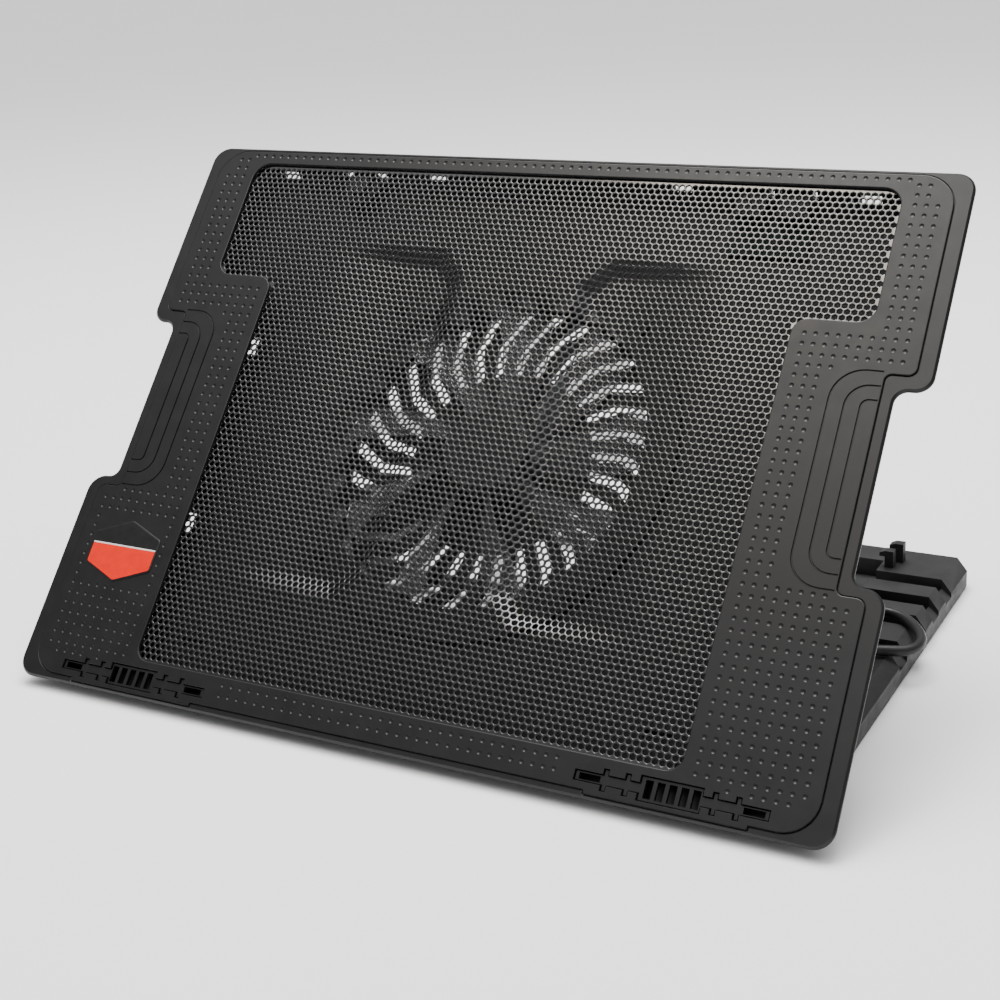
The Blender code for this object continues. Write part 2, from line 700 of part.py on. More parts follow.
def blade(index):
    """One thin blade whose root runs into the hub."""
    body = Body()
    rows = [blade_row(index * 2 * math.pi / BLADES, i / 3) for i in range(4)]
    front, back = [[[body.mesh.verts.new((x * MM, y * MM, (z + lift) * MM)) for x, y, z in row] for row in rows]
                   for lift in (BLADE_HALF_T, -BLADE_HALF_T)]
    faces = body.mesh.faces
    for i in range(3):
        for j in range(4):
            faces.new((front[i][j], front[i + 1][j], front[i + 1][j + 1], front[i][j + 1]))
            faces.new((back[i][j], back[i][j + 1], back[i + 1][j + 1], back[i + 1][j]))
        faces.new((front[i][0], back[i][0], back[i + 1][0], front[i + 1][0]))
        faces.new((front[i][4], front[i + 1][4], back[i + 1][4], back[i][4]))
    for j in range(4):
        faces.new((front[0][j], front[0][j + 1], back[0][j + 1], back[0][j]))
        faces.new((front[-1][j], back[-1][j], back[-1][j + 1], front[-1][j + 1]))
    return body.finish(f"blade_{index}", dark_plastic(), 40)


def fan_rotor(spin):
    """Hub cup with the blades; the hollow below takes the magnet ring and the coils."""
    body = Body()
    count = 36
    outer = body.wall((circle(HUB_R, count), HUB_LOW), (circle(HUB_R, count), HUB_TOP - 1.0),
                      (circle(HUB_R - 1.0, count), HUB_TOP))
    inner = body.wall((circle(HUB_WALL_R, count), HUB_LOW), (circle(HUB_WALL_R, count), HUB_TOP - 2.0))
    boss = body.wall((circle(3.0, 16), HUB_TOP - 4.0), (circle(3.0, 16), HUB_TOP - 2.0))
    bore = body.wall((circle(1.8, 16), HUB_TOP - 4.0), (circle(1.8, 16), HUB_TOP - 1.2))
    body.cap(outer[0], inner[0])
    body.cap(outer[1])
    body.cap(inner[1], boss[1])
    body.cap(boss[0], bore[0])
    body.cap(bore[1])
    obj = body.finish("fan_rotor", dark_plastic(), 40)
    for i in range(BLADES):
        add(obj, blade(i))
    room = turned("hub_room", ((HUB_WALL_R, HUB_LOW - 1.0), (HUB_WALL_R, HUB_TOP - 4.1)), dark_plastic(), count)
    cut(obj, room)
    place(obj, spin)


def fan_motor(pad, spin):
    """Pieces inside the hub: shaft and magnets turn, bearing, coils and board stay."""
    place(turned("hub_label", ((17.6, HUB_TOP + 0.3), (17.6, HUB_TOP + 0.6)),
                 material("label foil", (0.03, 0.03, 0.032), 0.3)), spin)
    place(turned("fan_shaft", ((SHAFT_R, HUB_LOW - 0.5), (SHAFT_R, HUB_TOP - 1.5)), steel(), 16), spin)
    place(turned("magnet_ring", ((16.2, -29.6), (16.2, -19.0)),
                 material("ferrite", (0.03, 0.03, 0.03), 0.6), 24, 14.6), spin)
    hub = (0, FAN_Y, 0)
    bearing = turned("fan_bearing", ((4.0, DRUM_BOTTOM + 2.3), (4.0, -20.0)),
                     material("bronze", (0.5, 0.3, 0.12), 0.35, 1.0), 20, SHAFT_R + GAP)
    place(bearing, pad, hub)
    coils = turned("fan_coils", ((13.2, -29.0), (14.0, -28.0), (14.0, -21.0), (13.2, -20.2)),
                   material("copper winding", (0.45, 0.16, 0.06), 0.4, 0.8), 24, 4.4)
    place(coils, pad, hub)
    board = turned("fan_board", ((15.8, -31.8), (15.8, -30.6)), circuit_green(), 24, 4.4)
    place(board, pad, hub)


def screws(pad):
    for i, (x, y) in enumerate(fan_screw_spots()):
        top = FLOOR - CASE_DEPTH + GAP + 2.0
        rings = ((1.3, -15.2), (1.3, top + 0.3), (2.9, top + 0.3), (2.9, top + 1.2), (1.9, top + 1.9))
        place(turned(f"fan_screw_{i + 1}", rings, steel(), 12), pad, (x, y, 0))
    for i, (x, y) in enumerate(screw_spots()):
        rings = ((2.0, -CASE_DEPTH - 2.0), (3.0, -CASE_DEPTH - 1.3), (3.0, -CASE_DEPTH - 0.3),
                 (1.2, -CASE_DEPTH - 0.3), (1.2, -5.0))
        place(turned(f"case_screw_{i + 1}", rings, steel(), 12), pad, (x, y, 0))


# ---------------------------------------------------------------- prop

def prop_bracket(axis):
    """U-shaped prop: two flat arms with pivot eyes and a foot bar with rubber ends."""
    profile = ((BAR_END_R, -FOOT_HALF), (BAR_END_R, -BAR_HALF), (FOOT_R, -BAR_HALF),
               (FOOT_R, BAR_HALF), (BAR_END_R, BAR_HALF), (BAR_END_R, FOOT_HALF))
    obj = turned_x("prop_bracket", profile, black_plastic(), y=PROP_LENGTH)
    for side, tag in SIDES:
        side_view = rounded_end(0.0, 0.0, ARM_HALF, math.pi / 2) + [(PROP_LENGTH, -ARM_HALF), (PROP_LENGTH, ARM_HALF)]
        eye = circle(PROP_PIN_R + GAP, 16)
        add(obj, extruded_x(f"arm_{tag}", side_view, side * ARM_IN, side * ARM_OUT, [eye]))
    place(obj, axis)
    for side, tag in SIDES:
        sleeve = rod_x(f"foot_sleeve_{tag}", FOOT_R, side * (BAR_HALF + GAP), side * FOOT_HALF, rubber(),
                       bore=BAR_END_R + GAP)
        place(sleeve, axis, (0, PROP_LENGTH, 0))


def prop_pins(pad):
    for side, tag in SIDES:
        pin = rod_x(f"prop_pin_{tag}", PROP_PIN_R, side * PROP_PIN_X[0], side * PROP_PIN_X[1], steel())
        place(pin, pad, (0, HINGE_Y + PROP_ON_PAD, -HINGE_DEPTH))


# ---------------------------------------------------------------- usb and speed control

def usb_port(name, pad, x):
    """Folded steel socket, open to the rear."""
    (w, h), t = PORT_HALF, PORT_WALL
    shell = rectangle(-w, w, -h, h)
    room = rectangle(t - w, w - t, t - h, h - t)
    body = Body()
    outside = body.wall((shell, 0.0), (shell, PORT_LENGTH))
    inside = body.wall((room, 1.0), (room, PORT_LENGTH))
    body.cap(outside[0])
    body.cap(inside[0])
    body.cap(outside[1], inside[1])
    place(body.finish(name, steel()), pad, (x, PORT_Y, PORT_Z), (-math.pi / 2, 0, 0))


def usb_unit(pad):
    """Hub board with two ports, and the thumb wheel on its potentiometer."""
    place(plate("usb_board", rectangle(-18.0, 18.0, -9.0, 9.0), 0.0, 1.6, circuit_green()), pad, HUB_BOARD)
    for i, x in enumerate(PORT_XS):
        usb_port(f"usb_port_{i + 1}", pad, x)
    dial = empty("knob_axis", pad, KNOB)
    place(turned("speed_knob", ((9.0, -2.0), (10.0, -1.4), (10.0, 1.4), (9.0, 2.0)), dark_plastic(), 28, 1.8), dial)
    place(turned("speed_potentiometer", ((1.4, -2.6), (1.4, 2.4), (5.5, 2.4), (5.5, 4.4)),
                 material("cream plastic", (0.5, 0.47, 0.38), 0.5), 24), pad, KNOB)


# ---------------------------------------------------------------- lead

def smooth_line(knots, count):
    """Even points on a Catmull-Rom curve through the knots."""
    fine = []
    ends = [knots[0] * 2 - knots[1]] + knots + [knots[-1] * 2 - knots[-2]]
    for a, b, c, d in zip(ends, ends[1:], ends[2:], ends[3:]):
        for k in range(24):
            t = k / 24
            fine.append(0.5 * (2 * b + (c - a) * t + (2 * a - 5 * b + 4 * c - d) * t * t
                               + (3 * b - a - 3 * c + d) * t ** 3))
    fine.append(knots[-1])
    travelled = [0.0]
    for p, q in zip(fine, fine[1:]):
        travelled.append(travelled[-1] + (q - p).length)
    points, i = [], 0
    for k in range(count):
        want = travelled[-1] * k / (count - 1)
        while i < len(fine) - 2 and travelled[i + 1] < want:
            i += 1
        f = (want - travelled[i]) / (travelled[i + 1] - travelled[i])
        points.append(fine[i].lerp(fine[i + 1], min(1.0, f)))
    return points


def lead_knots():
    """Route of the lead: from the case down to the stand, out in a loop and back to the coil."""
    rest = RIDGE_Z + CORD_D / 2 + 0.2
    low = TRAY_Z + CORD_D / 2 + 0.2
    tip = relief_tip()
    down = Vector((0.0, math.sin(TILT), -math.cos(TILT)))
    start = tip + down * GAP
    return [start, start + down * 4.0, Vector((154.0, -85.0, rest)), Vector((153.5, -60.0, rest)),
            Vector((152.5, -25.0, rest)), Vector((152.5, 2.0, rest)), Vector((157.0, 13.0, rest)),
            Vector((167.5, 15.7, rest)), Vector((176.3, 15.0, rest)), Vector((178.9, 22.0, rest)),
            Vector((175.6, 33.0, rest)), Vector((170.6, 43.0, rest)), Vector((163.9, 51.5, rest)),
            Vector((155.0, 57.5, rest)), Vector((146.0, 57.0, rest)), Vector((140.5, 50.0, rest)),
            Vector((140.0, 36.0, rest)), Vector((138.5, 12.0, rest)), Vector((134.5, -0.5, rest + 0.2)),
            Vector((131.0, -10.0, rest - 1.6)), Vector((129.8, -20.0, low + 3.6)), Vector((129.6, -32.0, low + 0.3)),
            Vector((COIL_X + COIL_R + CORD_D + GAP, COIL_Y, low))]


def relief_tip():
    """World position of the lower end of the strain relief."""
    y = RELIEF_Y - HINGE_Y
    z = -CASE_DEPTH - RELIEF_LENGTH + HINGE_DEPTH
    return Vector((RELIEF_X, AXIS_Y + y * math.cos(TILT) - z * math.sin(TILT),
                   AXIS_Z + y * math.sin(TILT) + z * math.cos(TILT)))


def strain_relief(pad):
    rings = ((2.9, -CASE_DEPTH - RELIEF_LENGTH), (3.4, -CASE_DEPTH - 4.0), (4.4, -CASE_DEPTH - 0.3),
             (3.1, -CASE_DEPTH - 0.3), (3.1, -CASE_DEPTH + FLOOR + 0.3), (4.4, -CASE_DEPTH + FLOOR + 0.3),
             (4.4, -CASE_DEPTH + FLOOR + 1.3))
    obj = turned("strain_relief", rings, rubber(), 16)
    place(obj, pad, (RELIEF_X, RELIEF_Y, 0))


def usb_cable():
    points = smooth_line(lead_knots(), 44)
    curve = bpy.data.curves.new("usb_cable", "CURVE")
    curve.dimensions = "3D"
    curve.bevel_depth = CORD_D / 2 * MM
    curve.bevel_resolution = 2
    curve.use_fill_caps = True
    curve.resolution_u = 1
    curve.render_resolution_u = 0
    spline = curve.splines.new("POLY")
    spline.points.add(len(points) - 1)
    for slot, p in zip(spline.points, points):
        slot.co = (*(p * MM), 1.0)
    curve.materials.append(rubber())
    obj = bpy.data.objects.new("usb_cable", curve)
    bpy.context.collection.objects.link(obj)


def usb_cable_coil():
    """Two turns of the lead lying on each other, drawn as one ring."""
    body = Body()
    r, h = CORD_D / 2, CORD_D
    section = [(r, 0.8), (r, h + h - 0.8), (r * 0.5, 2 * h), (-r * 0.5, 2 * h), (-r, h + h - 0.8), (-r, 0.8),
               (-r * 0.5, 0.0), (r * 0.5, 0.0)]
    rings = [[body.mesh.verts.new(((COIL_R + u) * c * MM, (COIL_R + u) * s * MM, z * MM)) for c, s in unit_circle(32)]
             for u, z in section]
    body.join(rings + [rings[0]])
    obj = body.finish("usb_cable_coil", rubber(), 50)
    obj.location = Vector((COIL_X, COIL_Y, TRAY_Z + 0.3)) * MM


def unit_circle(count):
    return [(math.cos(2 * math.pi * i / count), math.sin(2 * math.pi * i / count)) for i in range(count)]


def usb_plug():
    grip = rounded([(-4.0, -4.0, 2), (4.0, -4.0, 2), (4.0, 4.0, 2), (-4.0, 4.0, 2)], 3)
    body = Body()
    profile = [(x * 1.9, y * 0.95) for x, y in grip]
    neck = [(x * 0.72, y * 0.72) for x, y in grip]
    wall = body.wall((neck, -6.0), (profile, 0.0), (profile, 22.0))
    body.cap(wall[0])
    body.cap(wall[1])
    obj = body.finish("usb_plug", rubber(), 40)
    obj.location = Vector((PLUG_X, PLUG_Y, TRAY_Z + 4.1)) * MM
    obj.rotation_euler = (math.pi / 2, 0, -math.pi / 2)
    shell = box("usb_plug_shell", -6.0, 6.0, -2.25, 2.25, 22.3, 41.0, steel())
    shell.location = obj.location
    shell.rotation_euler = obj.rotation_euler


def build():
    clear_scene()
    base_plate()
    rubber_feet()
    hinge_pins()
    tilt = empty("tilt_axis", None, (0, AXIS_Y, AXIS_Z), (TILT, 0, 0))
    pad = empty("pad_frame", tilt, (0, -HINGE_Y, HINGE_DEPTH))
    top_frame(pad)
    mesh_grille(pad)
    bottom_case(pad)
    brackets(pad)
    badge(pad)
    front_stops(pad)
    fan_housing(pad)
    spin = empty("spin_axis", pad, (0, FAN_Y, 0))
    fan_rotor(spin)
    fan_motor(pad, spin)
    screws(pad)
    prop = empty("prop_axis", tilt, (0, PROP_ON_PAD, 0), (-PROP_TURN, 0, 0))
    prop_bracket(prop)
    prop_pins(pad)
    usb_unit(pad)
    strain_relief(pad)
    usb_cable()
    usb_cable_coil()
    usb_plug()


build()
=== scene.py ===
"""Looks of the laptop cooling pad: moulded frame, embossed mesh, fan, stand and lead.

Lengths are in millimetres here and are scaled to metres as they enter a mesh. Pad pieces are
drawn in the pad's own frame: y from its front edge, z from its top face.
"""
import math

import bmesh
import bpy
from mathutils import Matrix, Vector
from mathutils.geometry import delaunay_2d_cdt


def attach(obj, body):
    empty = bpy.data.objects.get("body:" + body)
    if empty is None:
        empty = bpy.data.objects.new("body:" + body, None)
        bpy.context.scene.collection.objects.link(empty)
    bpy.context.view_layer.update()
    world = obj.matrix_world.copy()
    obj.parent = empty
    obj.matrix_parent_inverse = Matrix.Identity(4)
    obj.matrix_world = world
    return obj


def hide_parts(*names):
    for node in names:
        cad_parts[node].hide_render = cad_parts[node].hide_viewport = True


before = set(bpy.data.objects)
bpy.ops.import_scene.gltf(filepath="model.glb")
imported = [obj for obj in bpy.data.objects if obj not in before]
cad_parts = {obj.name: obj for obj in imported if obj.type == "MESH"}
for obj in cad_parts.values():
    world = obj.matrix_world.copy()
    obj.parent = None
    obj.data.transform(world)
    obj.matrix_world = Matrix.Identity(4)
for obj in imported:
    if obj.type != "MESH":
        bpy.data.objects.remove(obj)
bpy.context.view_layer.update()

MM = 0.001
TILT = math.radians(49.0)
AXIS_Y, AXIS_Z = -97.2, 6.8
HINGE_Y, HINGE_DEPTH = 28.0, 31.0
PAD = (Matrix.Translation((0, AXIS_Y * MM, AXIS_Z * MM)) @ Matrix.Rotation(TILT, 4, "X")
       @ Matrix.Translation((0, -HINGE_Y * MM, HINGE_DEPTH * MM)))

# Pad outline, the mesh opening in it, and the wells and trays of the front stops.
PAD_W, PAD_D = 380.0, 278.6
NOTCH_X, NOTCH_Y = 176.1, (98.6, 180.0)
PANEL_X, PANEL_Y = 182.9, (3.2, 276.6)
OPEN_HALF, OPEN_WIDE = 128.8, 161.6
OPEN_LOW, OPEN_STEP, OPEN_HIGH = 16.8, 207.8, 269.7
WELL_X, WELL_Y, WELL_DEPTH = (87.8, 165.6), (6.2, 10.5), 6.9
TRAY_X, TRAY_Y = (84.5, 168.9), (1.9, 14.9)
RIB_Y, RIBS, RIB_HALF = (4.0, 12.8), (100.4, 109.4, 144.2, 153.2), 1.15
POCKET_X, POCKET_Y = (114.3, 139.5), (3.5, 13.4)
BADGE_X, BADGE_Y = -155.8, 63.6

# Lead, the stand's floor and ridges that it lies on, and its coil.
CORD_D = 4.8
TRAY_Z, RIDGE_Z = 2.5, 11.5
COIL_X, COIL_Y, COIL_R = 100.0, -44.0, 24.5
RELIEF_X, RELIEF_Y, RELIEF_Z = 154.0, 40.0, -24.5


# ---------------------------------------------------------------- camera

def make_camera():
    """Camera at the photograph's angle."""
    data = bpy.data.cameras.new("camera")
    data.sensor_width = 36.0
    data.lens = 61.8145
    data.shift_y = -0.0622
    data.clip_start, data.clip_end = 0.01, 100.0
    cam = bpy.data.objects.new("camera", data)
    bpy.context.collection.objects.link(cam)
    cam.location = (0.349194, -0.654141, 0.331280)
    cam.rotation_euler = [math.radians(a) for a in (72.4269, 2.4868, 28.0632)]
    bpy.context.scene.camera = cam


make_camera()


# ---------------------------------------------------------------- materials

class Shader:
    """A Principled material and short names for the nodes that feed it."""

    def __init__(self, name, color, roughness, metallic=0.0, **sockets):
        self.mat = bpy.data.materials.new(name)
        self.mat.use_nodes = True
        self.tree = self.mat.node_tree
        self.bsdf = self.tree.nodes["Principled BSDF"]
        self.put("Base Color", (*color, 1.0))
        self.put("Roughness", roughness)
        self.put("Metallic", metallic)
        for key, value in sockets.items():
            self.put(key.replace("_", " "), value)
        coords = self.node("ShaderNodeTexCoord")
        self.where = coords.outputs["Object"]

    def put(self, socket, value):
        self.bsdf.inputs[socket].default_value = value

    def node(self, kind, **settings):
        made = self.tree.nodes.new(kind)
        for key, value in settings.items():
            setattr(made, key, value)
        return made

    def link(self, a, b):
        self.tree.links.new(a, b)

    def noise(self, scale, detail=2.0, roughness=0.5):
        made = self.node("ShaderNodeTexNoise")
        made.inputs["Scale"].default_value = scale
        made.inputs["Detail"].default_value = detail
        made.inputs["Roughness"].default_value = roughness
        self.link(self.where, made.inputs["Vector"])
        return made.outputs["Fac"]

    def span(self, source, low, high, out_low, out_high):
        made = self.node("ShaderNodeMapRange")
        for name, value in (("From Min", low), ("From Max", high),
                            ("To Min", out_low), ("To Max", out_high)):
            made.inputs[name].default_value = value
        self.link(source, made.inputs["Value"])
        return made.outputs["Result"]

    def tint(self, source, dark, light):
        ramp = self.node("ShaderNodeValToRGB")
        ramp.color_ramp.elements[0].color = (*dark, 1.0)
        ramp.color_ramp.elements[1].color = (*light, 1.0)
        self.link(source, ramp.inputs["Fac"])
        self.link(ramp.outputs["Color"], self.bsdf.inputs["Base Color"])

    def bump(self, source, strength, distance):
        made = self.node("ShaderNodeBump")
        made.inputs["Strength"].default_value = strength
        made.inputs["Distance"].default_value = distance
        self.link(source, made.inputs["Height"])
        self.link(made.outputs["Normal"], self.bsdf.inputs["Normal"])

    def rough(self, source):
        self.link(source, self.bsdf.inputs["Roughness"])


def moulded(name, dark, light, low, high, grain=2600.0, bump=0.25):
    """Moulded plastic: spark-eroded grain, faint clouding of colour and gloss."""
    s = Shader(name, light, low, Specular_IOR_Level=0.3)
    cloud = s.noise(55.0, 4.0, 0.6)
    s.tint(s.span(cloud, 0.3, 0.7, 0.0, 1.0), dark, light)
    fine = s.noise(grain, 3.0, 0.6)
    s.rough(s.span(s.noise(140.0, 3.0), 0.3, 0.7, low, high))
    s.bump(fine, bump, 0.00006)
    return s.mat


def metal(name, dark, light, low, high):
    """Plain metal with faint clouding and fine surface marks."""
    s = Shader(name, light, low, 1.0)
    s.tint(s.span(s.noise(400.0, 4.0), 0.3, 0.7, 0.0, 1.0), dark, light)
    s.rough(s.span(s.noise(900.0, 3.0), 0.3, 0.7, low, high))
    s.bump(s.noise(2200.0, 2.0), 0.08, 0.00003)
    return s.mat


FRAME_BLACK = moulded("frame_black", (0.005, 0.005, 0.0053), (0.0072, 0.0071, 0.0073), 0.34, 0.42)
CASE_BLACK = moulded("case_black", (0.008, 0.008, 0.0085), (0.013, 0.013, 0.0135), 0.42, 0.54,
                     1800.0, 0.4)
STAND_BLACK = moulded("stand_black", (0.012, 0.012, 0.0125), (0.018, 0.018, 0.0185), 0.45, 0.58,
                      1800.0, 0.4)
FAN_BLACK = moulded("fan_black", (0.012, 0.012, 0.013), (0.02, 0.02, 0.021), 0.3, 0.42,
                    1500.0, 0.1)
RUBBER = moulded("soft_rubber", (0.008, 0.008, 0.008), (0.014, 0.014, 0.014), 0.6, 0.8,
                 1200.0, 0.5)
LEAD = moulded("lead_jacket", (0.012, 0.012, 0.012), (0.018, 0.018, 0.018), 0.35, 0.5,
               900.0, 0.15)
STEEL = metal("bright_steel", (0.42, 0.42, 0.43), (0.62, 0.62, 0.63), 0.25, 0.4)
COPPER = metal("copper_winding", (0.35, 0.12, 0.05), (0.6, 0.25, 0.1), 0.3, 0.45)
BRONZE = metal("sintered_bronze", (0.4, 0.24, 0.1), (0.55, 0.36, 0.17), 0.35, 0.5)
FERRITE = moulded("ferrite", (0.02, 0.02, 0.02), (0.035, 0.035, 0.036), 0.5, 0.7, 1400.0, 0.3)
BOARD = moulded("circuit_green", (0.002, 0.012, 0.005), (0.003, 0.018, 0.008), 0.6, 0.75,
                500.0, 0.2)
NICKEL = metal("dull_nickel", (0.02, 0.02, 0.02), (0.035, 0.035, 0.035), 0.45, 0.6)


def mesh_paint():
    """Gloss paint over punched steel: slightly pooled, so highlights break up a little."""
    s = Shader("mesh_paint", (0.014, 0.014, 0.0145), 0.2, 0.0, Specular_IOR_Level=0.65,
               Coat_Weight=0.3, Coat_Roughness=0.08)
    s.tint(s.span(s.noise(70.0, 3.0), 0.3, 0.7, 0.0, 1.0),
           (0.0035, 0.0035, 0.0037), (0.006, 0.006, 0.0063))
    s.rough(s.span(s.noise(500.0, 2.0), 0.3, 0.7, 0.12, 0.2))
    s.bump(s.noise(900.0, 2.0), 0.12, 0.00005)
    return s.mat


def smoked():
    """Smoke-tinted clear plastic of the fan blades."""
    s = Shader("smoked_plastic", (0.6, 0.6, 0.605), 0.08, Transmission_Weight=0.85, IOR=1.3)
    s.tint(s.span(s.noise(60.0, 3.0), 0.3, 0.7, 0.0, 1.0),
           (0.55, 0.55, 0.555), (0.66, 0.66, 0.665))
    s.rough(s.span(s.noise(300.0, 2.0), 0.3, 0.7, 0.05, 0.11))
    s.bump(s.noise(700.0, 2.0), 0.06, 0.00003)
    return s.mat


def label_foil():
    """Dark satin foil with a fine random grain, for the label on the hub."""
    s = Shader("label_foil", (0.02, 0.02, 0.021), 0.3, 0.2)
    s.tint(s.noise(300.0, 2.0), (0.012, 0.012, 0.013), (0.026, 0.026, 0.028))
    s.rough(s.span(s.noise(700.0, 2.0), 0.3, 0.7, 0.22, 0.38))
    s.bump(s.noise(1200.0, 2.0), 0.05, 0.00003)
    return s.mat


def foil(name, dark, light):
    """Printed foil: smooth colour with fine flecks in the lacquer."""
    s = Shader(name, light, 0.4, Specular_IOR_Level=0.25, Coat_Weight=0.08, Coat_Roughness=0.2)
    s.tint(s.span(s.noise(260.0, 3.0), 0.3, 0.7, 0.0, 1.0), dark, light)
    s.rough(s.span(s.noise(600.0, 2.0), 0.3, 0.7, 0.28, 0.4))
    s.bump(s.noise(1500.0, 2.0), 0.06, 0.00003)
    return s.mat


MESH_PAINT = mesh_paint()
SMOKED = smoked()
LABEL = label_foil()
ORANGE = foil("orange_foil", (0.62, 0.008, 0.0005), (0.7, 0.012, 0.001))
FOIL_BLACK = foil("black_foil", (0.006, 0.006, 0.006), (0.009, 0.009, 0.009))
FOIL_PALE = foil("pale_foil", (0.55, 0.55, 0.54), (0.62, 0.62, 0.6))


# ---------------------------------------------------------------- outlines

def grown(corners, step):
    """Corners (x, y, radius), counter-clockwise, with every edge moved out by step."""
    out = []
    n = len(corners)
    for i in range(n):
        ax, ay = corners[i - 1][:2]
        bx, by, radius = corners[i]
        cx, cy = corners[(i + 1) % n][:2]
        d1 = Vector((bx - ax, by - ay)).normalized()
        d2 = Vector((cx - bx, cy - by)).normalized()
        n1, n2 = Vector((d1.y, -d1.x)), Vector((d2.y, -d2.x))
        move = (n1 + n2) * (step / (1.0 + n1.dot(n2)))
        bend = step if d1.x * d2.y - d1.y * d2.x > 0 else -step
        out.append((bx + move.x, by + move.y, radius and max(radius + bend, 0.4)))
    return out


def fillet(a, b, c, radius, steps):
    """Points of the arc that rounds corner b between a and c."""
    u, v = (a - b).normalized(), (c - b).normalized()
    half = math.acos(max(-1.0, min(1.0, u.dot(v)))) / 2
    middle = b + (u + v).normalized() * (radius / math.sin(half))
    p = b + u * (radius / math.tan(half)) - middle
    q = b + v * (radius / math.tan(half)) - middle
    sweep = math.atan2(p.x * q.y - p.y * q.x, p.dot(q))
    return [(middle.x + p.x * math.cos(sweep * k / steps) - p.y * math.sin(sweep * k / steps),
             middle.y + p.x * math.sin(sweep * k / steps) + p.y * math.cos(sweep * k / steps))
            for k in range(steps + 1)]


def rounded(corners, steps=10):
    """Points of an outline with an arc at each corner (x, y, radius) that has a radius."""
    points = []
    n = len(corners)
    for i in range(n):
        before, corner, after = (Vector(corners[k % n][:2]) for k in (i - 1, i, i + 1))
        radius = corners[i][2]
        if radius:
            points += fillet(before, corner, after, radius, steps)
        else:
            points.append((corner.x, corner.y))
    return points


def mirrored(half):
    """Whole outline from its right half, which runs from the front to the back."""
    return half + [(-x, y, r) for x, y, r in reversed(half)]


def pad_outline():
    side = PAD_W / 2
    low, high = NOTCH_Y
    return mirrored([(side, 0.0, 8.5), (side, low, 8.5), (NOTCH_X, low, 5.0),
                     (NOTCH_X, high, 5.5), (side, high, 7.0), (side, PAD_D, 8.5)])


def panel_outline():
    """Raised panel, which comes further forward in front of each stop."""
    tongue_x, tongue_y = (93.0, 158.4), 1.6
    notch_x, (low, high) = 170.9, (94.0, 186.2)
    front, back = PANEL_Y
    return mirrored([
        (tongue_x[0], front, 0.5), (tongue_x[0], tongue_y, 0.5),
        (tongue_x[1], tongue_y, 0.5), (tongue_x[1], front, 0.5),
        (PANEL_X, front, 14.0), (PANEL_X, low, 4.0), (notch_x, low, 3.0),
        (notch_x, high, 3.0), (PANEL_X, high, 3.5), (PANEL_X, back, 15.0)])


def mesh_outline():
    return mirrored([
        (OPEN_HALF, OPEN_LOW, 7.0), (OPEN_HALF, OPEN_STEP, 7.0),
        (OPEN_WIDE, OPEN_STEP, 7.5), (OPEN_WIDE, OPEN_HIGH, 8.5)])


def well_outline(side, grow=0.0):
    """Slot for a front stop, wider at four ribs and at the finger grip in its middle."""
    low, high = WELL_Y[0] - grow, WELL_Y[1] + grow
    bumps = [(x - RIB_HALF - grow, x + RIB_HALF + grow, RIB_Y[0] - grow, RIB_Y[1] + grow)
             for x in RIBS]
    bumps.append((POCKET_X[0] - grow, POCKET_X[1] + grow,
                  POCKET_Y[0] - grow, POCKET_Y[1] + grow))
    bumps.sort()
    front, back = [(WELL_X[0] - grow, low)], [(WELL_X[0] - grow, high)]
    for x0, x1, y0, y1 in bumps:
        front += [(x0, low), (x0, y0), (x1, y0), (x1, low)]
        back += [(x0, high), (x0, y1), (x1, y1), (x1, high)]
    front.append((WELL_X[1] + grow, low))
    back.append((WELL_X[1] + grow, high))
    return [(side * x, y) for x, y in front + back[::-1]]


def circle(radius, count, centre):
    turn = 2 * math.pi / count
    return [(centre[0] + radius * math.cos(i * turn), centre[1] + radius * math.sin(i * turn))
            for i in range(count)]


# ---------------------------------------------------------------- mesh building

def inside(point, loop):
    """Whether a point is within a closed loop, by counting the edges to its right."""
    x, y = point
    odd = False
    for (ax, ay), (bx, by) in zip(loop, loop[1:] + loop[:1]):
        if (ay > y) != (by > y) and x < (bx - ax) * (y - ay) / (by - ay) + ax:
            odd = not odd
    return odd


